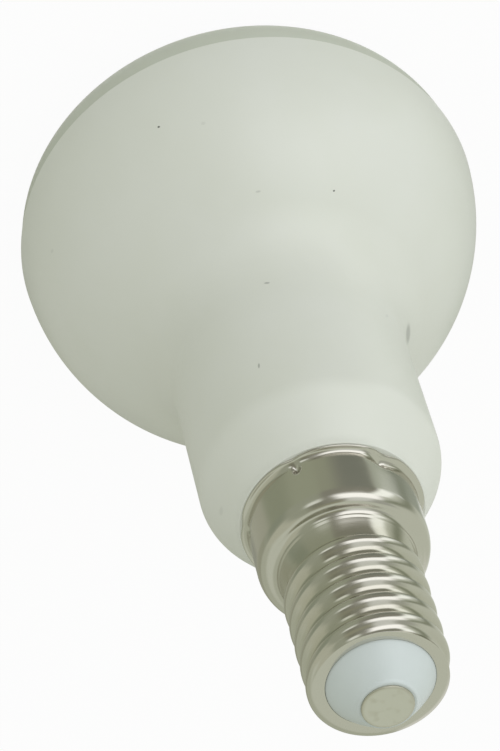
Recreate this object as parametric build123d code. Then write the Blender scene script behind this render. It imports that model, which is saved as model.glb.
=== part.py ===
from build123d import *
import math
import os

# Reflector lamp with a 14 mm screw cap, standing on its flat front face.
# Millimetres. Z runs up the lamp's axis from the front face to the centre contact.

# Housing: bowl, throat, neck and conical neck end
housing_length = 48.64
bowl_radius = 24.5
bowl_depth_at_rim = 1.25
rim_edge = 0.3
rim_wall = 1.7
throat_radius = 11.0
neck_radius = 12.1
neck_corner_round = 4.0
neck_end_length = 5.85
neck_end_land = 0.55
neck_end_ledge = 0.12

# Diffuser: the opal front
diffuser_height = 6.8
diffuser_step = 0.28
diffuser_edge_round = 6.0
spigot_length = 2.5
spigot_clearance = 0.1

# Cap shell: one thin sheet, drawn and rolled
sheet = 0.25
flange_width = 0.63
flange_bend = 0.3
skirt_radius = 8.45
skirt_length = 7.05
shoulder_length = 0.5
shoulder_round = 1.8
thread_major_diameter = 13.89
thread_minor_diameter = 12.29
thread_pitch = 2.82
thread_flats = 5
thread_end_turn = 86.8
thread_length = 16.55
root_dip = 0.03
end_curl = 1.1
end_hole_radius = 5.2

# Crimps: dents near the flange that hold the shell on the housing
crimp_count = 6
crimp_turn = 44.0
crimp_radius = 0.75
crimp_depth = 0.4

# Housing stub inside the shell
stub_clearance = 0.1
wire_room = 4.0

# Insulator
insulator_height = 3.2
insulator_depth = 3.0
insulator_clearance = 0.05

# Centre contact
contact_radius = 2.5
contact_land = 0.4
contact_seat = 0.3
contact_proud = 0.26
contact_edge = 0.15
stem_radius = 0.95
stem_length = 2.6
contact_clearance = 0.05

# Levels along the axis
rim_level = diffuser_height
bowl_level = rim_level - bowl_depth_at_rim
flange_level = rim_level + housing_length
flange_face = flange_level + sheet
shoulder_level = flange_level + skirt_length
thread_level = shoulder_level + shoulder_length
shell_end = thread_level + thread_length
curl_level = shell_end - end_curl
insulator_foot = shell_end - insulator_depth
insulator_top = shell_end + insulator_height
contact_foot = insulator_top - contact_seat

# Radii and angles that several pieces share
rim_radius = math.sqrt(bowl_radius ** 2 - bowl_depth_at_rim ** 2)
recess_radius = rim_radius - rim_wall
flange_radius = skirt_radius + flange_width
inner_skirt = skirt_radius - sheet
thread_major = thread_major_diameter / 2
thread_root = thread_minor_diameter / 2
bore_radius = thread_root - sheet
curl_centre = thread_major - end_curl
shoulder_angle = math.atan2(shoulder_length, skirt_radius - thread_root)
thread_start = shoulder_level - thread_pitch
thread_start_turn = thread_end_turn - 360 * (shell_end - thread_start) / thread_pitch


def polygon(*points):
    """Closed outline with straight sides, in (radius, height)."""
    return make_face(Polyline(*points, close=True))


def corner(outline, place):
    """The outline's corner at a (radius, height)."""
    return outline.vertices().sort_by_distance(place)[0]


def spun(outline):
    """Solid of revolution about the lamp's axis."""
    return revolve(Plane.XZ * outline, axis=Axis.Z)


def crimp_balls(radius):
    """One ball at each crimp, centred where the punch stopped, turned as the thread is."""
    reach = skirt_radius - crimp_depth + crimp_radius
    places = PolarLocations(reach, crimp_count, start_angle=crimp_turn - thread_start_turn)
    return [Pos(0, 0, flange_face + crimp_radius) * place * Sphere(radius) for place in places]


def make_diffuser():
    """Opal front: a disc with a well rounded edge, and a spigot that seats in the bowl's rim."""
    radius = rim_radius - diffuser_step
    spigot_radius = recess_radius - spigot_clearance
    spigot_top = diffuser_height + spigot_length
    outline = polygon(
        (0, 0),
        (radius, 0),
        (radius, diffuser_height),
        (spigot_radius, diffuser_height),
        (spigot_radius, spigot_top),
        (0, spigot_top),
    )
    return spun(fillet(corner(outline, (radius, 0)), diffuser_edge_round))


def make_housing():
    """White moulding: spherical bowl, hollow throat, neck, conical end, and the stub that carries the cap."""
    throat_centre = neck_radius + throat_radius
    throat_level = bowl_level + math.sqrt((bowl_radius + throat_radius) ** 2 - throat_centre ** 2)
    rim_angle = math.degrees(math.asin(bowl_depth_at_rim / bowl_radius))
    meet_angle = math.degrees(math.atan2(throat_level - bowl_level, throat_centre))
    cone_level = flange_level - neck_end_length
    seat_radius = flange_radius + neck_end_ledge
    recess_level = rim_level + spigot_length + spigot_clearance
    groove_radius = inner_skirt - crimp_depth - stub_clearance
    groove_level = flange_face + 2 * crimp_radius + sheet
    stub_radius = inner_skirt - stub_clearance
    stub_level = shoulder_level - shoulder_round
    core_radius = bore_radius - stub_clearance
    core_level = insulator_foot - wire_room
    bowl = CenterArc((0, bowl_level), bowl_radius, rim_angle, meet_angle - rim_angle)
    throat = CenterArc((throat_centre, throat_level), throat_radius, 180 + meet_angle, -meet_angle)
    sides = Polyline(
        throat @ 1,
        (neck_radius, cone_level),
        (seat_radius, flange_level - neck_end_land),
        (seat_radius, flange_level),
        (groove_radius, flange_level),
        (groove_radius, groove_level),
        (stub_radius, groove_level),
        (stub_radius, stub_level),
        (core_radius, stub_level),
        (core_radius, core_level),
        (0, core_level),
        (0, recess_level),
        (recess_radius, recess_level),
        (recess_radius, rim_level),
        bowl @ 0,
    )
    outline = make_face([bowl, throat, sides])
    outline = fillet(corner(outline, (neck_radius, cone_level)), neck_corner_round)
    outline = chamfer(corner(outline, (rim_radius, rim_level)), rim_edge)
    return spun(outline)


def thread_outline():
    """Axial section of one turn: crest and root are equal arcs, rolled as flats; the root dips into the core."""
    depth = thread_major - thread_root
    arc = (thread_pitch ** 2 / 4 + depth ** 2) / (4 * depth)
    flank = math.asin(thread_pitch / 4 / arc)
    step = 2 * flank / thread_flats
    crest = []
    root = []
    for place in range(thread_flats + 1):
        angle = flank - place * step
        crest.append((thread_major - arc * (1 - math.cos(angle)), arc * math.sin(angle)))
    for place in range(1, thread_flats // 2 + 1):
        angle = flank - place * step
        rise = arc * (1 - math.cos(angle)) - root_dip
        root.append((thread_root + rise, thread_pitch / 2 - arc * math.sin(angle)))
    inside = bore_radius - sheet
    far_root = [(radius, -height) for radius, height in root]
    ends = [(inside, far_root[-1][1]), (inside, root[-1][1])]
    return polygon(*reversed(root), *crest, *far_root, *ends)


def make_thread():
    """Rolled thread on its core, from inside the shoulder to the curled-in end, before it is turned."""
    height = shell_end + thread_pitch - thread_start
    path = Helix(pitch=thread_pitch, height=height, radius=thread_root)
    ridge = Pos(0, 0, thread_start) * sweep(Plane.XZ * thread_outline(), path=path, is_frenet=True)
    core = polygon((0, thread_start), (thread_root, thread_start), (thread_root, shell_end), (0, shell_end))
    return ridge + spun(core)


def make_cap_shell():
    """Screw cap of one sheet: flange, crimped skirt, shoulder, rolled thread and curled-in end."""
    collar = polygon(
        (0, flange_level),
        (flange_radius, flange_level),
        (flange_radius, flange_face),
        (skirt_radius, flange_face),
        (skirt_radius, shoulder_level),
        (bore_radius, thread_level + sheet * math.tan(shoulder_angle)),
        (0, thread_level + sheet * math.tan(shoulder_angle)),
    )
    collar = fillet(corner(collar, (skirt_radius, flange_face)), flange_bend)
    collar = fillet(corner(collar, (skirt_radius, shoulder_level)), shoulder_round)
    blank_radius = thread_major + sheet
    blank = polygon((0, flange_level), (blank_radius, flange_level), (blank_radius, shell_end), (0, shell_end))
    blank = fillet(corner(blank, (blank_radius, shell_end)), end_curl)
    outside = spun(collar) + (make_thread() & spun(blank)) - crimp_balls(crimp_radius)
    slant = sheet * math.tan(math.pi / 4 - shoulder_angle / 2)
    inner_curl = end_curl - sheet
    reach = math.sqrt(inner_curl ** 2 - (bore_radius - curl_centre) ** 2)
    hollow = polygon(
        (0, flange_level),
        (inner_skirt, flange_level),
        (inner_skirt, shoulder_level - slant),
        (bore_radius, thread_level - slant),
        (bore_radius, curl_level + reach),
        (end_hole_radius, shell_end - sheet),
        (end_hole_radius, shell_end),
        (0, shell_end),
    )
    hollow = fillet(corner(hollow, (inner_skirt, shoulder_level - slant)), shoulder_round - sheet)
    shell = outside - (spun(hollow) - crimp_balls(crimp_radius + sheet))
    return Rot(0, 0, thread_start_turn) * shell


def make_cap_insulator():
    """White plug: a collar held behind the curled end, a cone outside it, and a seat and hole for the contact."""
    collar_radius = bore_radius - insulator_clearance
    inner_curl = end_curl - sheet - insulator_clearance
    collar_top = curl_level + math.sqrt(inner_curl ** 2 - (collar_radius - curl_centre) ** 2)
    neck = end_hole_radius - insulator_clearance
    hole = stem_radius + contact_clearance
    seat = contact_radius + contact_clearance
    outline = polygon(
        (hole, insulator_foot),
        (collar_radius, insulator_foot),
        (collar_radius, collar_top),
        (neck, collar_top),
        (neck, shell_end),
        (contact_radius + contact_land, insulator_top),
        (seat, insulator_top),
        (seat, contact_foot),
        (hole, contact_foot),
    )
    return spun(outline)


def make_centre_contact():
    """Contact disc with a rivet stem."""
    top = insulator_top + contact_proud
    outline = polygon(
        (0, contact_foot - stem_length),
        (stem_radius, contact_foot - stem_length),
        (stem_radius, contact_foot),
        (contact_radius, contact_foot),
        (contact_radius, top),
        (0, top),
    )
    return spun(chamfer(corner(outline, (contact_radius, top)), contact_edge))


os.makedirs("parts", exist_ok=True)
nodes = {
    "diffuser": make_diffuser(),
    "housing": make_housing(),
    "cap_shell": make_cap_shell(),
    "cap_insulator": make_cap_insulator(),
    "centre_contact": make_centre_contact(),
}
for name, solid in nodes.items():
    solid.label = name
    export_step(solid, f"parts/{name}.step")
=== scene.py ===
import logging
import math
from dataclasses import dataclass
from enum import Enum

import bmesh
import bpy
from bpy.types import Material, Node, NodeSocket, NodeTree, Object, World
from mathutils import Matrix, Vector


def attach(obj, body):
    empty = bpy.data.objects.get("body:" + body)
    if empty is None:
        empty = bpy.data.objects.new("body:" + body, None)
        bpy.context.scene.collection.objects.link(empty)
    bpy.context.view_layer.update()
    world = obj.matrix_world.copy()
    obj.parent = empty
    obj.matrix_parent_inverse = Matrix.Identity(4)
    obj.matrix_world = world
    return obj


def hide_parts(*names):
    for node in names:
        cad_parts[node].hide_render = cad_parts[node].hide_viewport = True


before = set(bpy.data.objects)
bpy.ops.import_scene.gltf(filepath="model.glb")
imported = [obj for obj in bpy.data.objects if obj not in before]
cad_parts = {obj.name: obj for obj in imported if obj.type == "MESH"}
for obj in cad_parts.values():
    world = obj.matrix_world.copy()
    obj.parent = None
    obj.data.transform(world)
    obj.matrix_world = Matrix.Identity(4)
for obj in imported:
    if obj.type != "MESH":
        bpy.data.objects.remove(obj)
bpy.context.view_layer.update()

LOG = logging.getLogger("reflector_lamp")
MM = 0.001
ROOT = "root"
IMAGE_HEIGHT = 751
WHITE = (1.0, 1.0, 1.0, 1.0)

# Sockets of a colour Mix node, which Blender numbers
MIX_SHARE = 0
MIX_FIRST = 6
MIX_SECOND = 7
MIX_RESULT = 2

# Settings that several nodes share
COLOURS = {"data_type": "RGBA"}
SMOOTH = {"interpolation_type": "SMOOTHSTEP"}
LARGER = {"operation": "MAXIMUM"}
TIMES = {"operation": "MULTIPLY"}

Point = tuple[float, float]
Triple = tuple[float, float, float]
Ring = list[Triple]
Linear = tuple[float, float, float, float]
Blank = tuple[Material, NodeTree, Node, NodeSocket]


# Small helpers

def linear(code: str) -> Linear:
    """Turns an sRGB hex colour into Blender's linear colour.

    Args:
        code: colour such as "#E2E4DC".

    Returns:
        Red, green, blue and an alpha of 1, linear.
    """
    parts = [int(code[place:place + 2], 16) / 255 for place in (1, 3, 5)]
    # The numbers are those of the sRGB standard's own curve.
    red, green, blue = [
        part / 12.92 if part <= 0.04045 else ((part + 0.055) / 1.055) ** 2.4 for part in parts
    ]
    return (red, green, blue, 1.0)


def per_mm(size: float) -> float:
    """Returns the texture scale, per metre, of a pattern that repeats every size millimetres."""
    return 1 / (size * MM)


def feed(tree: NodeTree, node: Node, inputs: dict) -> None:
    """Gives a node its values and links.

    Args:
        tree: node tree that holds the node.
        node: node to feed.
        inputs: values, outputs, or nodes that give their first output, by input name or number.
    """
    for name, value in inputs.items():
        if isinstance(value, Node):
            value = value.outputs[0]
        if isinstance(value, NodeSocket):
            tree.links.new(value, node.inputs[name])
        else:
            node.inputs[name].default_value = value


def add_node(tree: NodeTree, kind: str, settings: dict, inputs: dict) -> Node:
    """Adds a node with its settings, values and links.

    Args:
        tree: node tree that takes the node.
        kind: Blender's name of the node, less the ShaderNode that it starts with.
        settings: attributes to set.
        inputs: values and links, as in feed.

    Returns:
        The new node.
    """
    node = tree.nodes.new("ShaderNode" + kind)
    for name, value in settings.items():
        setattr(node, name, value)
    feed(tree, node, inputs)
    return node


def arc(centre: Point, radius: float, start: float, end: float, steps: int) -> list[Point]:
    """Returns points along an arc in (radius, height), with angles in degrees from outward to up."""
    angles = [math.radians(start + (end - start) * step / steps) for step in range(steps + 1)]
    return [(centre[0] + radius * math.cos(a), centre[1] + radius * math.sin(a)) for a in angles]


def run(start: Point, end: Point, steps: int) -> list[Point]:
    """Returns points along a straight run in (radius, height), both ends included."""
    shares = [step / steps for step in range(steps + 1)]
    return [(start[0] + (end[0] - start[0]) * s, start[1] + (end[1] - start[1]) * s) for s in shares]


def ramp(value: float) -> float:
    """Returns a smooth rise from 0 to 1 as value goes from 0 to 1."""
    held = min(max(value, 0.0), 1.0)
    return held * held * (3 - 2 * held)


def ring(point: Point, columns: int) -> Ring:
    """Points round the lamp's axis at one (radius, height), or the single point on the axis.

    Args:
        point: radius and height, in millimetres.
        columns: number of points round the axis.

    Returns:
        The ring's points, in metres.
    """
    radius, height = point
    if radius == 0:
        return [(0.0, 0.0, height * MM)]
    turns = [2 * math.pi * column / columns for column in range(columns)]
    return [(radius * math.cos(t) * MM, radius * math.sin(t) * MM, height * MM) for t in turns]


def skin(name: str, rings: list[Ring], closed: bool = False, sharp_angle: float = 40.0) -> Object:
    """Makes a mesh object over a row of rings.

    Args:
        name: name of the object.
        rings: rings in order; a ring of one point is a pole.
        closed: True where the last ring joins the first.
        sharp_angle: edges that bend more than this, in degrees, stay crisp.

    Returns:
        The object, smooth shaded, with its faces turned outward.
    """
    points = [point for one in rings for point in one]
    starts = []
    total = 0
    for one in rings:
        starts.append(total)
        total += len(one)
    order = list(range(len(rings)))
    pairs = list(zip(order, order[1:]))
    if closed:
        pairs.append((order[-1], order[0]))
    faces = []
    for low, high in pairs:
        below, above = len(rings[low]), len(rings[high])
        count = max(below, above)
        for column in range(count):
            following = (column + 1) % count
            corners = [starts[low] + column % below, starts[low] + following % below]
            corners += [starts[high] + following % above, starts[high] + column % above]
            faces.append(tuple(dict.fromkeys(corners)))
    mesh = bpy.data.meshes.new(name)
    mesh.from_pydata(points, [], faces)
    work = bmesh.new()
    work.from_mesh(mesh)
    bmesh.ops.recalc_face_normals(work, faces=work.faces)
    work.to_mesh(mesh)
    work.free()
    mesh.shade_smooth()
    mesh.set_sharp_from_angle(angle=math.radians(sharp_angle))
    made = bpy.data.objects.new(name, mesh)
    bpy.context.scene.collection.objects.link(made)
    return made


def bare_tree(owner: Material | World) -> NodeTree:
    """Turns on the nodes of a material or world.

    Args:
        owner: material or world.

    Returns:
        Its node tree, emptied.
    """
    owner.use_nodes = True
    owner.node_tree.nodes.clear()
    return owner.node_tree


def blank_material(name: str) -> Blank:
    """Starts a node material.

    Args:
        name: name of the material.

    Returns:
        The material, its node tree, its surface shader and the place on the lamp.
    """
    material = bpy.data.materials.new(name)
    tree = bare_tree(material)
    shader = add_node(tree, "BsdfPrincipled", {}, {})
    add_node(tree, "OutputMaterial", {}, {"Surface": shader})
    place = add_node(tree, "TexCoord", {}, {})
    return material, tree, shader, place.outputs["Object"]


def axis_distance(tree: NodeTree, where: NodeSocket) -> NodeSocket:
    """Adds the distance of a place from the lamp's axis.

    Args:
        tree: node tree that asks.
        where: place on the lamp.

    Returns:
        The distance, in metres.
    """
    flat = add_node(tree, "VectorMath", TIMES, {0: where, 1: (1.0, 1.0, 0.0)})
    far = add_node(tree, "VectorMath", {"operation": "LENGTH"}, {0: flat})
    return far.outputs["Value"]


# Finishes

class Trace(Enum):
    """Kinds of dark mark on the moulding, with how dark each one is."""

    SPECK = 0.95
    SCUFF = 0.42
    STREAK = 0.33
    SMEAR = 0.2
    FAINT = 0.09


@dataclass(frozen=True)
class Mark:
    """One mark: its turn round the axis, level and half sizes in mm, and lean in the photo's plane."""

    turn: float
    level: float
    half_long: float
    half_wide: float
    lean: float
    trace: Trace


MARKS = (
    Mark(-75.2, 15.0, 0.17, 0.13, 20, Trace.SPECK),
    Mark(-123.9, 23.3, 0.15, 0.12, 40, Trace.SPECK),
    Mark(-91.4, 32.4, 0.38, 0.12, 5, Trace.SCUFF),
    Mark(-77.0, 44.4, 0.33, 0.13, 90, Trace.SCUFF),
    Mark(-97.0, 23.4, 0.35, 0.15, 10, Trace.SMEAR),
    Mark(-154.3, 34.2, 0.3, 0.2, 40, Trace.FAINT),
    Mark(-13.0, 52.6, 0.6, 0.25, 85, Trace.FAINT),
    Mark(-86.5, 16.6, 0.3, 0.22, 20, Trace.FAINT),
    Mark(-27.8, 14.8, 0.3, 0.2, 60, Trace.FAINT),
    # A soft dark spindle in the hollow where the neck meets the bowl.
    Mark(169.0, 28.2, 1.35, 0.36, 88, Trace.STREAK),
)


@dataclass(frozen=True)
class MouldedHousingPlastic:
    """White PBT, injection moulded in a lightly etched tool."""

    # The etched tool gives a satin skin with a broad soft highlight and a fine grit.
    # Handling has left a few dark specks and pale smears.
    white: str = "#E3E4DD"
    aged: str = "#DADCCF"
    dirt_and_shade: str = "#24231F"
    ior: float = 1.57
    smooth: float = 0.36
    rough: float = 0.46
    cloud_mm: float = 14.0
    grit_mm: float = 0.45
    grit_height_mm: float = 0.02
    mark_reach: float = 4.0
    mark_core: float = 0.6

    def make(self) -> Material:
        """Returns the material."""
        material, tree, shader, where = blank_material("pbt_white_moulded_satin")
        cloud = add_node(tree, "TexNoise", {}, {
            "Vector": where, "Scale": per_mm(self.cloud_mm), "Detail": 3.0, "Roughness": 0.55})
        # The real grit is under a tenth of a millimetre and is drawn coarser, so that it shows.
        grit = add_node(tree, "TexNoise", {}, {
            "Vector": where, "Scale": per_mm(self.grit_mm), "Detail": 2.0, "Roughness": 0.6})
        skin_colour = add_node(tree, "Mix", COLOURS, {
            MIX_SHARE: cloud, MIX_FIRST: linear(self.white), MIX_SECOND: linear(self.aged)})
        dirt_and_shade_mix = add_node(tree, "Mix", COLOURS, {
            MIX_SHARE: self.marked(tree, where), MIX_FIRST: skin_colour.outputs[MIX_RESULT],
            MIX_SECOND: linear(self.dirt_and_shade)})
        gloss = add_node(tree, "MapRange", {}, {
            "Value": grit, "From Min": 0.3, "From Max": 0.7,
            "To Min": self.smooth, "To Max": self.rough})
        bump = add_node(tree, "Bump", {}, {
            "Strength": 0.12, "Distance": self.grit_height_mm * MM, "Height": grit})
        feed(tree, shader, {
            "Base Color": dirt_and_shade_mix.outputs[MIX_RESULT], "Roughness": gloss, "Normal": bump, "IOR": self.ior})
        return material

    def marked(self, tree: NodeTree, where: NodeSocket) -> NodeSocket:
        """Adds the dark marks, each a soft ellipse across the photo's view that reaches in along it.

        Args:
            tree: node tree of the material.
            where: coordinates on the lamp.

        Returns:
            How dark a point is marked, from 0 to 1.
        """
        total = None
        for mark in MARKS:
            place = Housing().surface(mark.turn, mark.level)
            turned = PhotoCamera().axes() @ Matrix.Rotation(math.radians(mark.lean), 3, "Z")
            spot = add_node(tree, "Mapping", {"vector_type": "TEXTURE"}, {
                "Vector": where, "Location": place, "Rotation": turned.to_euler(),
                "Scale": Vector((mark.half_long, mark.half_wide, self.mark_reach * mark.half_long)) * MM})
            fade = add_node(tree, "TexGradient", {"gradient_type": "SPHERICAL"}, {"Vector": spot})
            shade = add_node(tree, "MapRange", SMOOTH, {
                "Value": fade.outputs["Fac"], "From Max": self.mark_core, "To Max": mark.trace.value})
            if total is None:
                total = shade.outputs["Result"]
            else:
                joined = add_node(tree, "Math", LARGER, {0: total, 1: shade})
                total = joined.outputs["Value"]
        return total


@dataclass(frozen=True)
class OpalFrontPlastic:
    """Opal polycarbonate, injection moulded and left matt to spread the light."""

    # Light enters and scatters a little way in, so the edge looks soft, greyer and slightly green.
    opal: str = "#CDD0C3"
    deep: str = "#C3C7B7"
    ior: float = 1.58
    roughness: float = 0.5
    cloud_mm: float = 11.0
    scatter_mm: float = 1.2
    scatter_weight: float = 0.15
    scatter_reach: Triple = (1.0, 1.0, 0.9)

    def make(self) -> Material:
        """Returns the material."""
        material, tree, shader, where = blank_material("opal_polycarbonate_moulded")
        cloud = add_node(tree, "TexNoise", {}, {
            "Vector": where, "Scale": per_mm(self.cloud_mm), "Detail": 2.0})
        tone = add_node(tree, "Mix", COLOURS, {
            MIX_SHARE: cloud, MIX_FIRST: linear(self.opal), MIX_SECOND: linear(self.deep)})
        feed(tree, shader, {
            "Base Color": tone.outputs[MIX_RESULT], "Roughness": self.roughness, "IOR": self.ior,
            "Subsurface Weight": self.scatter_weight, "Subsurface Radius": self.scatter_reach,
            "Subsurface Scale": self.scatter_mm * MM})
        return material


@dataclass(frozen=True)
class NickelPlate:
    """Nickel plate on drawn and rolled brass sheet."""

    # Bright but not mirror smooth: the rolls leave fine lines round the cap.
    # The roots of the thread dull to olive, and the curled end stays clean.
    nickel: str = "#CFCCC3"
    dull: str = "#B5B29D"
    smooth: float = 0.11
    rough: float = 0.22
    root_radius: float = 6.1
    crest_radius: float = 6.9
    dull_level: float = 78.0
    plain_level: float = 79.0
    dull_share: float = 0.75
    line_mm: float = 0.16
    line_height_mm: float = 0.01
    line_stretch: Triple = (0.04, 0.04, 1.0)
    cloud_mm: float = 2.5

    def make(self) -> Material:
        """Returns the material."""
        material, tree, shader, where = blank_material("nickel_plate_rolled")
        root = add_node(tree, "MapRange", SMOOTH, {
            "Value": axis_distance(tree, where), "From Min": self.root_radius * MM,
            "From Max": self.crest_radius * MM, "To Min": self.dull_share, "To Max": 0.0})
        cloud = add_node(tree, "TexNoise", {}, {
            "Vector": where, "Scale": per_mm(self.cloud_mm), "Detail": 4.0, "Roughness": 0.6})
        axes = add_node(tree, "SeparateXYZ", {}, {"Vector": where})
        end = add_node(tree, "MapRange", SMOOTH, {
            "Value": axes.outputs["Z"], "From Min": self.dull_level * MM,
            "From Max": self.plain_level * MM, "To Min": 1.0, "To Max": 0.0})
        held = add_node(tree, "Math", TIMES, {0: root, 1: end})
        dulled = add_node(tree, "Math", TIMES, {0: held, 1: cloud})
        tone = add_node(tree, "Mix", COLOURS, {
            MIX_SHARE: dulled, MIX_FIRST: linear(self.nickel), MIX_SECOND: linear(self.dull)})
        # The real lines are finer than a tenth of a millimetre and are drawn coarser, so that they show.
        stretched = add_node(tree, "Mapping", {}, {"Vector": where, "Scale": self.line_stretch})
        lines = add_node(tree, "TexNoise", {}, {
            "Vector": stretched, "Scale": per_mm(self.line_mm), "Detail": 2.0})
        gloss = add_node(tree, "MapRange", {}, {
            "Value": cloud, "From Min": 0.3, "From Max": 0.75,
            "To Min": self.smooth, "To Max": self.rough})
        bump = add_node(tree, "Bump", {}, {
            "Strength": 0.3, "Distance": self.line_height_mm * MM, "Height": lines})
        feed(tree, shader, {
            "Base Color": tone.outputs[MIX_RESULT], "Roughness": gloss, "Normal": bump, "Metallic": 1.0})
        return material


@dataclass(frozen=True)
class InsulatorPlastic:
    """Bluish white PBT, moulded and slightly glossy."""

    # Cooler than the housing, with a thin line of painted shade where it leaves the metal.
    white: str = "#D6DDDC"
    shade: str = "#CDD5D3"
    dirt_and_shade: str = "#A3AAA2"
    ior: float = 1.57
    roughness: float = 0.4
    cloud_mm: float = 4.0
    foot_level: float = 79.5
    plain_level: float = 79.78
    foot_shade: float = 0.3

    def make(self) -> Material:
        """Returns the material."""
        material, tree, shader, where = blank_material("pbt_bluish_white_moulded")
        cloud = add_node(tree, "TexNoise", {}, {
            "Vector": where, "Scale": per_mm(self.cloud_mm), "Detail": 3.0})
        tone = add_node(tree, "Mix", COLOURS, {
            MIX_SHARE: cloud, MIX_FIRST: linear(self.white), MIX_SECOND: linear(self.shade)})
        axes = add_node(tree, "SeparateXYZ", {}, {"Vector": where})
        # Painted shade: darker at the foot, where the plug comes out of the cap's curled end.
        foot = add_node(tree, "MapRange", SMOOTH, {
            "Value": axes.outputs["Z"], "From Min": self.foot_level * MM,
            "From Max": self.plain_level * MM, "To Min": self.foot_shade, "To Max": 0.0})
        dirt_and_shade_mix = add_node(tree, "Mix", COLOURS, {
            MIX_SHARE: foot, MIX_FIRST: tone.outputs[MIX_RESULT], MIX_SECOND: linear(self.dirt_and_shade)})
        feed(tree, shader, {
            "Base Color": dirt_and_shade_mix.outputs[MIX_RESULT], "Roughness": self.roughness, "IOR": self.ior})
        return material


@dataclass(frozen=True)
class DullContactMetal:
    """Nickel-plated contact disc, stamped and dulled by the lampholder's spring."""

    # Matt and beige grey, with brown tarnish in smudges and towards its edge.
    metal: str = "#D6D5CB"
    tarnish: str = "#A49D84"
    roughness: float = 0.5
    clean_radius: float = 2.1
    edge_radius: float = 2.6
    clean_tarnish: float = 0.05
    edge_tarnish: float = 0.4
    smudge_tarnish: float = 0.3
    smudge_mm: float = 0.9
    scratch_mm: float = 0.22
    scratch_height_mm: float = 0.01
    scratch_turn: float = 0.6
    scratch_stretch: Triple = (1.0, 0.12, 1.0)

    def make(self) -> Material:
        """Returns the material."""
        material, tree, shader, where = blank_material("nickel_contact_stamped")
        edge = add_node(tree, "MapRange", SMOOTH, {
            "Value": axis_distance(tree, where), "From Min": self.clean_radius * MM,
            "From Max": self.edge_radius * MM, "To Min": self.clean_tarnish, "To Max": self.edge_tarnish})
        # The real scratches are hairlines and are drawn coarser, so that they show.
        stretched = add_node(tree, "Mapping", {}, {
            "Vector": where, "Rotation": (0.0, 0.0, self.scratch_turn), "Scale": self.scratch_stretch})
        scratch = add_node(tree, "TexNoise", {}, {
            "Vector": stretched, "Scale": per_mm(self.scratch_mm), "Detail": 3.0})
        cloud = add_node(tree, "TexNoise", {}, {
            "Vector": where, "Scale": per_mm(self.smudge_mm), "Detail": 1.0})
        smudge = add_node(tree, "MapRange", {}, {
            "Value": cloud, "From Min": 0.5, "From Max": 0.8, "To Max": self.smudge_tarnish})
        worn = add_node(tree, "Math", LARGER, {0: edge, 1: smudge})
        tone = add_node(tree, "Mix", COLOURS, {
            MIX_SHARE: worn, MIX_FIRST: linear(self.metal), MIX_SECOND: linear(self.tarnish)})
        bump = add_node(tree, "Bump", {}, {
            "Strength": 0.2, "Distance": self.scratch_height_mm * MM, "Height": scratch})
        feed(tree, shader, {
            "Base Color": tone.outputs[MIX_RESULT], "Roughness": self.roughness, "Normal": bump,
            "Metallic": 1.0})
        return material


# Pieces of the lamp, in millimetres, with Z up its axis from the front face

def seat(piece: Object, node: str, material: Material) -> None:
    """Dresses a piece and sets it in the place of its CAD node.

    Args:
        piece: new piece.
        node: CAD node that it stands for.
        material: its finish.
    """
    piece.data.materials.append(material)
    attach(piece, ROOT)
    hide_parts(node)
    LOG.info("%s stands for %s with %d faces", piece.name, node, len(piece.data.polygons))


@dataclass
class Diffuser:
    """Opal front: a flat disc with a well rounded edge and a spigot in the bowl's rim."""

    radius: float = 24.188
    height: float = 6.8
    edge_round: float = 6.0
    lip_round: float = 0.2
    spigot_radius: float = 22.668
    spigot_length: float = 2.5
    flat_steps: int = 6
    edge_steps: int = 40
    lip_steps: int = 6
    columns: int = 256

    def outline(self) -> list[Point]:
        """Returns the outline from the axis round the edge and back to the axis."""
        flat = self.radius - self.edge_round
        lip = (self.radius - self.lip_round, self.height - self.lip_round)
        points = run((0, 0), (flat, 0), self.flat_steps)
        points += arc((flat, self.edge_round), self.edge_round, -90, 0, self.edge_steps)[1:]
        points += arc(lip, self.lip_round, 0, 90, self.lip_steps)
        top = self.height + self.spigot_length
        return points + [(self.spigot_radius, self.height), (self.spigot_radius, top), (0, top)]

    def build(self) -> Object:
        """Returns the front's mesh object."""
        return skin("diffuser_front", [ring(point, self.columns) for point in self.outline()])

    def dress(self, piece: Object) -> None:
        """Gives the front its finish and its place."""
        seat(piece, "diffuser", OpalFrontPlastic().make())


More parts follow.
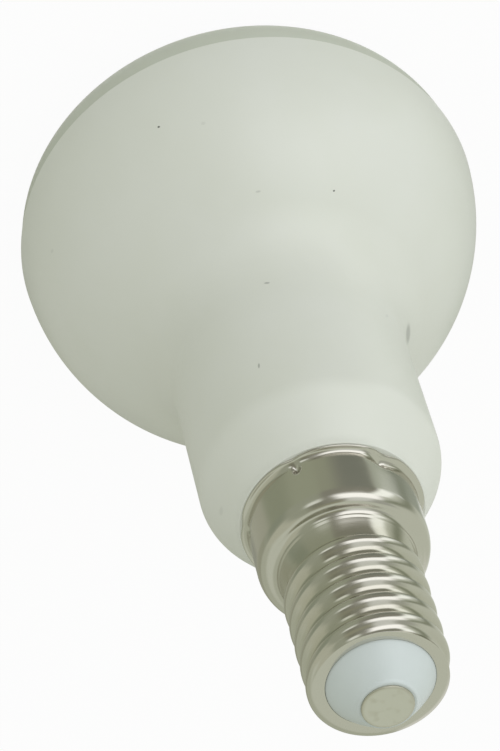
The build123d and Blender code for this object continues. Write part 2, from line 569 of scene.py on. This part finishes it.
@dataclass
class Housing:
    """White moulding: spherical bowl, hollow throat, neck, conical end and the stub inside the cap."""

    # Rim and bowl
    rim_level: float = 6.8
    rim_edge: float = 0.3
    rim_tilt: float = -8.0
    recess_radius: float = 22.768
    recess_level: float = 9.4
    bowl_radius: float = 24.5
    bowl_level: float = 5.55
    # Throat, neck and conical end
    throat_radius: float = 11.0
    neck_radius: float = 12.1
    cone_level: float = 49.59
    corner_round: float = 4.0
    land_level: float = 54.89
    # Seat of the cap, and the stub inside it
    seat_radius: float = 9.2
    seat_edge: float = 0.12
    flange_level: float = 55.44
    groove_radius: float = 7.1
    groove_level: float = 57.44
    stub_radius: float = 8.1
    stub_level: float = 60.69
    core_radius: float = 5.795
    core_level: float = 72.54
    # Rows and columns of the mesh
    rim_steps: int = 6
    bowl_steps: int = 72
    throat_steps: int = 40
    neck_steps: int = 12
    corner_steps: int = 12
    cone_steps: int = 8
    seat_steps: int = 4
    columns: int = 256

    def bowl_angle(self, level: float) -> float:
        """Returns the angle, in degrees, at which the bowl reaches a level."""
        return math.degrees(math.asin((level - self.bowl_level) / self.bowl_radius))

    def outline(self) -> list[Point]:
        """Returns the outline from the axis, out round the rim, up the outside and back to the axis."""
        centre = self.neck_radius + self.throat_radius
        reach = self.bowl_radius + self.throat_radius
        throat_level = self.bowl_level + math.sqrt(reach ** 2 - centre ** 2)
        meet = math.degrees(math.atan2(throat_level - self.bowl_level, centre))
        rim_radius = self.bowl_radius * math.cos(math.radians(self.bowl_angle(self.rim_level)))
        rim = (rim_radius - self.rim_edge, self.rim_level + self.rim_edge)
        narrowing = self.neck_radius - self.seat_radius
        slope = math.degrees(math.atan2(narrowing, self.land_level - self.cone_level))
        tangent = self.corner_round * math.tan(math.radians(slope / 2))
        neck_end = (self.neck_radius, self.cone_level - tangent)
        points = [(0, self.recess_level), (self.recess_radius, self.recess_level)]
        points += [(self.recess_radius, self.rim_level)]
        points += arc(rim, self.rim_edge, -90, self.rim_tilt, self.rim_steps)
        first = self.bowl_angle(rim[1])
        points += arc((0, self.bowl_level), self.bowl_radius, first, meet, self.bowl_steps)
        points += arc((centre, throat_level), self.throat_radius, 180 + meet, 180, self.throat_steps)[1:]
        points += run((self.neck_radius, throat_level), neck_end, self.neck_steps)[1:]
        corner = (self.neck_radius - self.corner_round, neck_end[1])
        points += arc(corner, self.corner_round, 0, slope, self.corner_steps)[1:]
        points += run(points[-1], (self.seat_radius, self.land_level), self.cone_steps)[1:]
        edge = (self.seat_radius - self.seat_edge, self.flange_level - self.seat_edge)
        points += arc(edge, self.seat_edge, 0, 90, self.seat_steps)
        points += [(self.groove_radius, self.flange_level), (self.groove_radius, self.groove_level)]
        points += [(self.stub_radius, self.groove_level), (self.stub_radius, self.stub_level)]
        points += [(self.core_radius, self.stub_level), (self.core_radius, self.core_level)]
        return points + [(0, self.core_level)]

    def surface(self, turn: float, level: float) -> Vector:
        """Finds a point on the outside of the moulding.

        Args:
            turn: angle round the axis, in degrees.
            level: height, in millimetres.

        Returns:
            The point, in metres.
        """
        outside = [point for point in self.outline() if point[0] >= self.seat_radius]
        spans = [pair for pair in zip(outside, outside[1:]) if pair[0][1] <= level < pair[1][1]]
        (low_radius, low), (high_radius, high) = spans[-1]
        radius = low_radius + (high_radius - low_radius) * (level - low) / (high - low)
        around = math.radians(turn)
        return Vector((radius * math.cos(around), radius * math.sin(around), level)) * MM

    def build(self) -> Object:
        """Returns the moulding's mesh object."""
        return skin("housing_moulding", [ring(point, self.columns) for point in self.outline()])

    def dress(self, piece: Object) -> None:
        """Gives the moulding its finish and its place."""
        seat(piece, "housing", MouldedHousingPlastic().make())


@dataclass
class CapShell:
    """Screw cap of one sheet: flange, crimped skirt, shoulder, rolled round thread and curled-in end."""

    # Sheet, flange and skirt
    sheet: float = 0.25
    flange_level: float = 55.44
    flange_radius: float = 9.08
    bend: float = 0.42
    skirt_radius: float = 8.45
    # Shoulder and its two rounds
    shoulder_level: float = 62.49
    upper_round: float = 1.1
    lower_round: float = 2.8
    lower_turn: float = 20.0
    shoulder_start: float = 61.04
    # Thread
    thread_level: float = 62.99
    thread_major: float = 6.945
    thread_root: float = 6.145
    pitch: float = 2.82
    crest_level: float = 70.4
    # Groove after the shoulder, where the thread fades out
    neck_radius: float = 6.74
    neck_round: float = 0.7
    groove_level: float = 63.25
    groove_end: float = 65.6
    groove_bow: float = 1.5
    fade_level: float = 65.0
    full_level: float = 66.5
    least_share: float = 0.02
    # Curled end
    shell_end: float = 79.54
    curl: float = 1.1
    hole_radius: float = 5.2
    hole_edge: float = 0.08
    blend: float = 0.16
    # Crimps, and the lip between them
    crimp_count: int = 6
    crimp_turn: float = 44.0
    crimp_level: float = 56.5
    crimp_depth: float = 0.42
    crimp_half_width: float = 0.32
    crimp_half_height: float = 0.58
    lip_dip: float = 0.2
    lip_half_width: float = 1.0
    scallop: float = 0.22
    level_slack: float = 0.01
    # Crimp that was struck harder
    hard_turn: float = 224.0
    hard_pinch: float = 0.62
    lip_share: float = 0.25
    hard_long: float = 1.75
    hard_short: float = 1.2
    # Rows and columns of the mesh
    crimped_length: float = 2.0
    pressed_length: float = 2.6
    crisp_angle: float = 50.0
    round_steps: int = 10
    crimped_steps: int = 16
    tight_steps: int = 20
    hole_steps: int = 4
    close_rows: int = 30
    slope_crowding: float = 1.5
    rows_per_pitch: int = 24
    columns: int = 300

    def thread_radius(self, turn: float, level: float) -> float:
        """Radius of the rolled thread, of equal arcs at crest and root, which fades near the shoulder.

        Args:
            turn: angle round the axis, in radians.
            level: height, in millimetres.

        Returns:
            The radius there, in millimetres.
        """
        depth = self.thread_major - self.thread_root
        bow = (self.pitch ** 2 / 4 + depth ** 2) / (4 * depth)
        along = (level - self.crest_level) / self.pitch - turn / (2 * math.pi)
        away = abs(along - round(along)) * self.pitch
        if away <= self.pitch / 4:
            proud = depth - bow + math.sqrt(bow ** 2 - away ** 2)
        else:
            proud = bow - math.sqrt(bow ** 2 - (self.pitch / 2 - away) ** 2)
        fade = ramp((level - self.fade_level) / (self.full_level - self.fade_level))
        share = self.least_share + (1 - self.least_share) * fade
        left = min(max((self.groove_end - level) / (self.groove_end - self.groove_level), 0.0), 1.0)
        taper = (self.neck_radius - self.thread_root) * left ** self.groove_bow
        limit = self.neck_radius + (self.thread_major - self.neck_radius) * fade
        return self.soft_least(self.thread_root + taper + proud * share, limit)

    def soft_least(self, first: float, second: float) -> float:
        """Returns the lesser of two radii, with the corner between them rounded."""
        gap = max(self.blend - abs(first - second), 0) / self.blend
        return min(first, second) - gap * gap * self.blend / 4

    def foot_radius(self, level: float) -> float:
        """Radius of the shoulder's slope and of the hollow round between it and the thread.

        Args:
            level: height, in millimetres.

        Returns:
            The radius there, or 0 above the round.
        """
        drop = (self.skirt_radius - self.thread_root) / (self.thread_level - self.shoulder_level)
        lean = math.atan(1 / drop)
        reach = self.neck_radius + self.neck_round
        centre = self.shoulder_level + (self.skirt_radius - reach) / drop
        centre += self.neck_round / math.cos(lean)
        if level <= centre - self.neck_round * math.cos(lean):
            return self.skirt_radius - (level - self.shoulder_level) * drop
        if level < centre:
            return reach - math.sqrt(self.neck_round ** 2 - (centre - level) ** 2)
        return 0.0

    def thread_ring(self, level: float) -> Ring:
        """One ring of the threaded length, between the shoulder's slope and the curled end.

        Args:
            level: height, in millimetres.

        Returns:
            The ring's points, in metres.
        """
        foot = self.foot_radius(level)
        centre = self.thread_major + self.sheet - self.curl
        rise = max(level - (self.shell_end - self.curl), 0)
        limit = centre + math.sqrt(max(self.curl ** 2 - rise ** 2, 0))
        points = []
        for column in range(self.columns):
            turn = 2 * math.pi * column / self.columns
            radius = max(self.soft_least(self.thread_radius(turn, level), limit), foot)
            points.append((radius * math.cos(turn) * MM, radius * math.sin(turn) * MM, level * MM))
        return points

    def collar_ring(self, point: Point) -> Ring:
        """One ring of the flange or skirt, pressed in at the crimps, of which one is struck harder.

        Args:
            point: radius and height before crimping, in millimetres.

        Returns:
            The ring's points, in metres.
        """
        radius, level = point
        above = (level - self.flange_level - self.sheet) / self.lip_half_width
        lift = self.scallop * math.exp(-above ** 2) if above > -self.level_slack else 0.0
        first = math.radians(self.crimp_turn)
        part = 2 * math.pi / self.crimp_count
        beyond = max(radius - self.skirt_radius, 0)
        held = 1 - beyond / (self.flange_radius - self.skirt_radius)
        dip = self.lip_dip * (1 - held)
        pinch = self.hard_pinch * math.exp(-max(above, 0) ** 2)
        pinch *= self.lip_share + (1 - self.lip_share) * held
        points = []
        for column in range(self.columns):
            turn = 2 * math.pi * column / self.columns
            off = ((turn - first + part / 2) % part - part / 2) * self.skirt_radius
            square = (off / self.crimp_half_width) ** 2 + (beyond / self.crimp_half_width) ** 2
            square += ((level - self.crimp_level) / self.crimp_half_height) ** 2
            inner = radius - self.crimp_depth * math.exp(-square)
            inner -= dip * math.exp(-(off / self.lip_half_width) ** 2)
            struck = (turn - math.radians(self.hard_turn)) * self.skirt_radius
            reach = self.hard_long if struck < 0 else self.hard_short
            inner -= pinch * math.exp(-(struck / reach) ** 2)
            near = 0.5 + 0.5 * math.cos(self.crimp_count * (turn - first))
            height = level + lift * near * held
            points.append((inner * math.cos(turn) * MM, inner * math.sin(turn) * MM, height * MM))
        return points

    def shoulder(self, inset: float) -> list[Point]:
        """The shoulder's round, gentle from the skirt and tighter up to the slope.

        Args:
            inset: distance from the outside, in millimetres.

        Returns:
            The points, both ends included.
        """
        fall = math.atan2(self.thread_level - self.shoulder_level, self.skirt_radius - self.thread_root)
        bent = math.radians(self.lower_turn)
        spare = self.lower_round - self.upper_round
        low = (self.skirt_radius - self.lower_round, self.shoulder_start)
        high = (low[0] + spare * math.cos(bent), low[1] + spare * math.sin(bent))
        last = 90 - math.degrees(fall)
        points = arc(low, self.lower_round - inset, 0, self.lower_turn, self.round_steps)
        return points + arc(high, self.upper_round - inset, self.lower_turn, last, self.tight_steps)[1:]

    def collar_outline(self) -> list[Point]:
        """Returns the outline from under the flange, round its lip and up the skirt to the slope."""
        face = self.flange_level + self.sheet
        half = self.sheet / 2
        foot = face + self.bend
        crimped = (self.skirt_radius, face + self.crimped_length)
        lip = (self.flange_radius - half, self.flange_level + half)
        points = arc(lip, half, -90, 90, self.round_steps)
        points += arc((self.skirt_radius + self.bend, foot), self.bend, 270, 180, self.round_steps)
        points += run((self.skirt_radius, foot), crimped, self.crimped_steps)[1:]
        round_off = self.shoulder(0.0)
        return points + run(points[-1], round_off[0], self.round_steps)[1:-1] + round_off

    def levels(self, start: float) -> list[float]:
        """Heights of the threaded length's rings.

        Args:
            start: height where the collar ends, in millimetres.

        Returns:
            Heights, close together on the shoulder's slope and the curled end.
        """
        foot = self.groove_level
        curl_level = self.shell_end - self.curl
        count = round((curl_level - foot) / self.pitch * self.rows_per_pitch)
        rows = self.close_rows
        shares = [(step / rows) ** self.slope_crowding for step in range(1, rows + 1)]
        tilts = [math.radians(90 * step / rows) for step in range(1, rows)]
        heights = [start + (foot - start) * share for share in shares]
        heights += [foot + (curl_level - foot) * step / count for step in range(1, count + 1)]
        return heights + [curl_level + self.curl * math.sin(tilt) for tilt in tilts]

    def build(self) -> Object:
        """Makes the cap shell, outside and inside.

        Returns:
            The shell's mesh object.
        """
        collar = self.collar_outline()
        rings = [self.collar_ring(point) for point in collar]
        rings += [self.thread_ring(level) for level in self.levels(collar[-1][1])]
        bore = self.thread_root - self.sheet
        edge = (self.hole_radius + self.hole_edge, self.shell_end - self.hole_edge)
        inner = arc(edge, self.hole_edge, 90, 180, self.hole_steps)
        inner += [(self.hole_radius, self.shell_end - self.sheet)]
        inner += [(bore, self.shell_end - 2 * self.sheet), (bore, self.thread_level - self.sheet)]
        inner += list(reversed(self.shoulder(self.sheet)))
        rings += [ring(point, self.columns) for point in inner]
        wall = self.skirt_radius - self.sheet
        highest = self.flange_level + self.pressed_length
        pressed = run((wall, highest), (wall, self.flange_level), self.crimped_steps)
        rings += [self.collar_ring(point) for point in pressed]
        return skin("cap_shell_rolled", rings, True, self.crisp_angle)

    def dress(self, piece: Object) -> None:
        """Gives the cap shell its finish and its place."""
        seat(piece, "cap_shell", NickelPlate().make())


@dataclass
class CapInsulator:
    """White plug: a collar behind the curled end, a cone outside it, a seat and hole for the contact."""

    hole_radius: float = 1.0
    foot_level: float = 76.54
    collar_radius: float = 5.845
    collar_level: float = 79.24
    neck_radius: float = 5.19
    shell_end: float = 79.54
    top_level: float = 82.74
    land_radius: float = 2.9
    land_edge: float = 0.25
    crown: float = 0.12
    seat_radius: float = 2.51
    seat_level: float = 82.44
    cone_steps: int = 24
    edge_steps: int = 5
    columns: int = 192

    def outline(self) -> list[Point]:
        """Returns the closed outline, from the hole's foot outward and back down the hole."""
        narrowing = self.neck_radius - self.land_radius
        slope = math.degrees(math.atan2(narrowing, self.top_level - self.shell_end))
        cone_end = (self.land_radius, self.top_level - self.land_edge)
        points = [(self.hole_radius, self.foot_level), (self.collar_radius, self.foot_level)]
        points += [(self.collar_radius, self.collar_level), (self.neck_radius, self.collar_level)]
        cone = run((self.neck_radius, self.shell_end), cone_end, self.cone_steps)
        for step, (radius, level) in enumerate(cone):
            bulge = self.crown * math.sin(math.pi * step / self.cone_steps)
            points.append((radius + bulge, level))
        edge = (self.land_radius - self.land_edge, cone_end[1])
        points += arc(edge, self.land_edge, slope, 90, self.edge_steps)
        points += [(self.seat_radius, self.top_level), (self.seat_radius, self.seat_level)]
        return points + [(self.hole_radius, self.seat_level)]

    def build(self) -> Object:
        """Returns the plug's mesh object."""
        return skin("cap_insulator_plug", [ring(point, self.columns) for point in self.outline()], True)

    def dress(self, piece: Object) -> None:
        """Gives the plug its finish and its place."""
        seat(piece, "cap_insulator", InsulatorPlastic().make())


@dataclass
class CentreContact:
    """Contact disc with a rivet stem through the insulator."""

    radius: float = 2.5
    foot_level: float = 82.44
    top_level: float = 83.0
    edge: float = 0.15
    dimple: float = 0.03
    stem_radius: float = 0.95
    stem_level: float = 79.84
    edge_steps: int = 6
    face_steps: int = 8
    columns: int = 128

    def outline(self) -> list[Point]:
        """Returns the outline from the stem's end, round the disc's edge and over its hollow face."""
        points = [(0, self.stem_level), (self.stem_radius, self.stem_level)]
        points += [(self.stem_radius, self.foot_level), (self.radius, self.foot_level)]
        flat = self.radius - self.edge
        points += arc((flat, self.top_level - self.edge), self.edge, 0, 90, self.edge_steps)
        for step in range(1, self.face_steps + 1):
            share = 1 - step / self.face_steps
            points.append((flat * share, self.top_level - self.dimple * (1 - share ** 2)))
        return points

    def build(self) -> Object:
        """Returns the contact's mesh object."""
        return skin("centre_contact_disc", [ring(point, self.columns) for point in self.outline()])

    def dress(self, piece: Object) -> None:
        """Gives the contact its finish and its place."""
        seat(piece, "centre_contact", DullContactMetal().make())


# Camera and studio

@dataclass
class PhotoCamera:
    """The photo's camera, above the near side and rolled, so that the cap points down to the right."""

    place: Triple = (0.0, -240.08, 333.78)
    aim: Triple = (4.0, 0.0, 30.58)
    roll: float = 164.4
    focal_pixels: float = 3799.5
    sensor: float = 36.0
    nearest: float = 10.0

    def axes(self) -> Matrix:
        """Returns the camera's axes, right, up and back, as the columns of a matrix."""
        back = (Vector(self.place) - Vector(self.aim)).normalized()
        right = Vector((0, 0, 1)).cross(back).normalized()
        upright = Matrix((right, back.cross(right), back)).transposed()
        return upright @ Matrix.Rotation(math.radians(self.roll), 3, "Z")

    def build(self) -> None:
        """Makes the camera and sets it as the scene's own."""
        data = bpy.data.cameras.new("photo_camera")
        data.sensor_width = self.sensor
        data.lens = self.focal_pixels * self.sensor / IMAGE_HEIGHT
        data.clip_start = self.nearest * MM
        made = bpy.data.objects.new("photo_camera", data)
        made.matrix_world = Matrix.Translation(Vector(self.place) * MM) @ self.axes().to_4x4()
        bpy.context.scene.collection.objects.link(made)
        bpy.context.scene.camera = made
        LOG.info("camera of %.1f mm set", data.lens)


@dataclass(frozen=True)
class Softbox:
    """One soft lamp: its direction in degrees, its distance and size in metres, its power in watts."""

    name: str
    azimuth: float
    elevation: float
    distance: float
    width: float
    height: float
    power: float
    colour: str

    def build(self, aim: Vector) -> None:
        """Makes the lamp.

        Args:
            aim: point that it faces, in metres.
        """
        data = bpy.data.lights.new(self.name, "AREA")
        data.shape = "RECTANGLE"
        data.size = self.width
        data.size_y = self.height
        data.energy = self.power
        data.color = linear(self.colour)[:3]
        around = math.radians(self.azimuth)
        above = math.radians(self.elevation)
        level = math.cos(above)
        way = Vector((level * math.cos(around), level * math.sin(around), math.sin(above)))
        made = bpy.data.objects.new(self.name, data)
        made.location = aim + way * self.distance
        made.rotation_euler = way.to_track_quat("Z", "Y").to_euler()
        made.visible_glossy = False
        bpy.context.scene.collection.objects.link(made)
        LOG.info("lamp %s set", self.name)


@dataclass(frozen=True)
class Panel:
    """One thing in the mirrored room: sides and soft edge in degrees, colour, brightness and lean."""

    name: str
    left: float
    right: float
    low: float
    high: float
    edge: float
    colour: str
    level: float = 1.0
    lean: float = 0.0

    def share(self, side: float, rise: float) -> float:
        """How much of the panel shows in one direction.

        Args:
            side: degrees round from the camera's side, to the right.
            rise: degrees above the middle of the cap.

        Returns:
            1 inside the panel, 0 outside it, and between them at its edge.
        """
        upright = side - self.lean * rise
        within = 1.0
        for depth in (upright - self.left, self.right - upright, rise - self.low, self.high - rise):
            within *= ramp(depth / self.edge + 0.5)
        return within


@dataclass(frozen=True)
class MirroredRoom:
    """The painted room that bright metal mirrors, seen by mirrored rays alone: windows, walls and a
    table.
    """

    # Every panel is painted reflection: the room glows in these colours and shows only in mirrored rays;
    # its windows are painted highlights and its dim panels painted shade.
    walls: str = "#D4D9CC"
    panels: tuple[Panel, ...] = (
        Panel("far left wall", -190, -84, -90, 34, 20, "#C0C5B5"),
        Panel("far left wall, low", -190, -84, -90, -16, 20, "#A9AC9A"),
        Panel("left wall", -88, -48, -90, 64, 16, "#C6C9B8"),
        Panel("left wall, low", -88, -38, -90, -12, 26, "#9AA190"),
        Panel("near left wall", -52, 10, -90, 64, 14, "#A9AE9D"),
        Panel("top of the window wall", -30, 30, 50, 70, 10, "#9C9C88"),
        Panel("wall between the windows", -24, 12, 13, 52, 10, "#8A8A7B"),
        Panel("dim screen by the camera", -6, 62, -90, 52, 10, "#96968B"),
        Panel("curtain", 74, 92, -58, 44, 16, "#959B89", 1.0, -0.45),
        Panel("top of the curtain", 60, 92, 36, 64, 12, "#B4B7AE"),
        Panel("table, far left", -190, -84, -66, -46, 16, "#B3B5A5"),
        Panel("table, far left corner", -200, -132, -66, -46, 16, "#989A8D"),
        Panel("table, left", -86, -40, -66, -46, 16, "#9DA38E"),
        Panel("table, middle", -44, 18, -66, -46, 24, "#A8AE98"),
        Panel("table, in the screen's shade", 20, 64, -66, -44, 34, "#858A80"),
        Panel("table, right", 65, 92, -66, -48, 20, "#B7BFB0"),
        Panel("table, far right", 90, 150, -66, -48, 16, "#949B8D"),
        Panel("white sweep behind the lamp", 150, 196, -80, 30, 18, "#EDEFE9"),
        Panel("table, under the lamp", -200, 200, -95, -63, 6, "#8A8D80"),
        Panel("second window", -25, -7, -13, 14, 9, "#F0F4EE", 1.08),
        Panel("window blind", 8, 46, 33, 64, 12, "#E9ECE9", 1.0, 0.35),
        Panel("window", 8, 60, -13, 34, 15, "#F8F9FA", 1.58, 0.15),
        Panel("window's light on the table", 41, 60, -45, -6, 9, "#F8FCFA", 1.45, -0.55),
        Panel("window's light on the table, far", 72, 98, -49, -42, 7, "#F7FCF8", 0.9),
    )
    middle: float = 70.0
    inner: float = 24.7
    floor_level: float = 0.4
    radius: float = 1200.0
    lowest: int = -68
    step: int = 2

    def outline(self) -> list[Point]:
        """Returns the room's outline, along the floor from near the lamp and up over it."""
        points = [(self.inner, self.floor_level)]
        for rise in range(self.lowest, 90, self.step):
            tilt = math.radians(rise)
            reach = self.radius * math.cos(tilt)
            if rise < 0:
                reach = min(reach, (self.floor_level - self.middle) / math.tan(tilt))
            points.append((reach, max(self.middle + reach * math.tan(tilt), self.floor_level)))
        return points + [(0, self.middle + self.radius)]

    def tone(self, place: Vector) -> list[float]:
        """Colour of the room at one place.

        Args:
            place: point on the room's outline, in metres.

        Returns:
            Linear red, green, blue and alpha.
        """
        way = place - Vector((0, 0, self.middle * MM))
        side = math.degrees(math.atan2(-way.x, -way.y))
        rise = math.degrees(math.atan2(way.z, math.hypot(way.x, way.y)))
        colour = Vector(linear(self.walls)[:3])
        for panel in self.panels:
            shown = Vector(linear(panel.colour)[:3]) * panel.level
            colour = colour.lerp(shown, panel.share(side, rise))
        return [*colour, 1.0]

    def build(self) -> None:
        """Makes the room and lets only mirrored rays see it."""
        room = skin("mirrored_room", [ring(point, 360 // self.step) for point in self.outline()])
        tones = room.data.color_attributes.new("tone", "FLOAT_COLOR", "POINT")
        colours = [part for point in room.data.vertices for part in self.tone(point.co)]
        tones.data.foreach_set("color", colours)
        material = bpy.data.materials.new("mirrored_room_paint")
        tree = bare_tree(material)
        paint = add_node(tree, "Attribute", {"attribute_name": "tone"}, {})
        glow = add_node(tree, "Emission", {}, {"Color": paint.outputs["Color"]})
        add_node(tree, "OutputMaterial", {}, {"Surface": glow})
        room.data.materials.append(material)
        room.visible_camera = False
        room.visible_diffuse = False
        room.visible_transmission = False
        room.visible_shadow = False
        LOG.info("room set: %s", "; ".join(panel.name for panel in self.panels))


@dataclass
class Studio:
    """White floor, soft daylight, a key softbox on the right, a weak fill, and the mirrored room."""

    floor_radius: float = 4.0
    front_light: str = "#CFD2D3"
    back_light: str = "#CFD2C5"
    ambient_level: float = 1.01
    dim_side: Triple = (0.15, 0.93, 0.33)
    dim_share: float = 0.26
    floor_colour: str = "#E8E8E6"
    floor_white: float = 0.95
    floor_columns: int = 96
    lit_level: float = 45.0
    key: Softbox = Softbox(
        "key_softbox", azimuth=-157, elevation=20, distance=0.6, width=0.95, height=0.4, power=1.65,
        colour="#F4F6FF")
    fill: Softbox = Softbox(
        "fill_softbox", azimuth=-25, elevation=8, distance=0.6, width=0.6, height=0.3, power=0.2,
        colour="#FFFFFF")

    def seen_white(self, tree: NodeTree) -> NodeSocket:
        """Adds the test for rays that see the white background, straight, mirrored or let through.

        Args:
            tree: node tree that asks.

        Returns:
            1 for such a ray, and 0 for one that lights a surface.
        """
        path = add_node(tree, "LightPath", {}, {})
        either = add_node(tree, "Math", LARGER, {
            0: path.outputs["Is Camera Ray"], 1: path.outputs["Is Glossy Ray"]})
        any_ray = add_node(tree, "Math", LARGER, {0: either, 1: path.outputs["Is Transmission Ray"]})
        return any_ray.outputs["Value"]

    def build_world(self) -> None:
        """Makes the daylight, dimmer and warmer towards one side, and white to the eye."""
        world = bpy.data.worlds.new("studio_daylight")
        bpy.context.scene.world = world
        tree = bare_tree(world)
        place = add_node(tree, "TexCoord", {}, {})
        towards = add_node(tree, "VectorMath", {"operation": "DOT_PRODUCT"}, {
            0: place.outputs["Generated"], 1: self.dim_side})
        level = add_node(tree, "MapRange", {}, {
            "Value": towards.outputs["Value"], "From Min": -1.0, "From Max": 1.0,
            "To Min": self.ambient_level * (1 + self.dim_share),
            "To Max": self.ambient_level * (1 - self.dim_share)})
        behind = add_node(tree, "MapRange", {}, {
            "Value": towards.outputs["Value"], "From Min": -1.0, "From Max": 1.0})
        tint = add_node(tree, "Mix", COLOURS, {
            MIX_SHARE: behind, MIX_FIRST: linear(self.front_light),
            MIX_SECOND: linear(self.back_light)})
        soft = add_node(tree, "Background", {}, {"Color": tint.outputs[MIX_RESULT], "Strength": level})
        white = add_node(tree, "Background", {}, {"Color": WHITE, "Strength": 1.0})
        mixed = add_node(tree, "MixShader", {}, {0: self.seen_white(tree), 1: soft, 2: white})
        add_node(tree, "OutputWorld", {}, {"Surface": mixed})

    def build_floor(self) -> None:
        """Makes the white floor, which keeps a soft shadow."""
        outline = ((0, 0), (self.floor_radius / MM, 0))
        floor = skin("studio_floor", [ring(point, self.floor_columns) for point in outline])
        material = bpy.data.materials.new("floor_paper_white")
        tree = bare_tree(material)
        paper = add_node(tree, "BsdfDiffuse", {}, {"Color": linear(self.floor_colour)})
        white = add_node(tree, "Emission", {}, {"Color": WHITE, "Strength": 1.0})
        share = add_node(tree, "Math", TIMES, {0: self.seen_white(tree), 1: self.floor_white})
        mixed = add_node(tree, "MixShader", {}, {0: share, 1: paper, 2: white})
        add_node(tree, "OutputMaterial", {}, {"Surface": mixed})
        floor.data.materials.append(material)

    def build(self) -> None:
        """Makes the floor, the light and the room that the metal mirrors."""
        self.build_world()
        self.build_floor()
        MirroredRoom().build()
        for lamp in (self.key, self.fill):
            lamp.build(Vector((0, 0, self.lit_level)) * MM)
        LOG.info("studio set")


def main() -> None:
    """Builds the lamp's pieces in order, then the camera and the studio."""
    logging.basicConfig(level=logging.INFO, format="%(name)s: %(message)s")
    scene = bpy.context.scene
    scene.view_settings.view_transform = "Standard"
    for part in (Diffuser(), Housing(), CapShell(), CapInsulator(), CentreContact()):
        part.dress(part.build())
    PhotoCamera().build()
    Studio().build()
    bpy.context.view_layer.update()


if __name__ == "__main__":
    main()
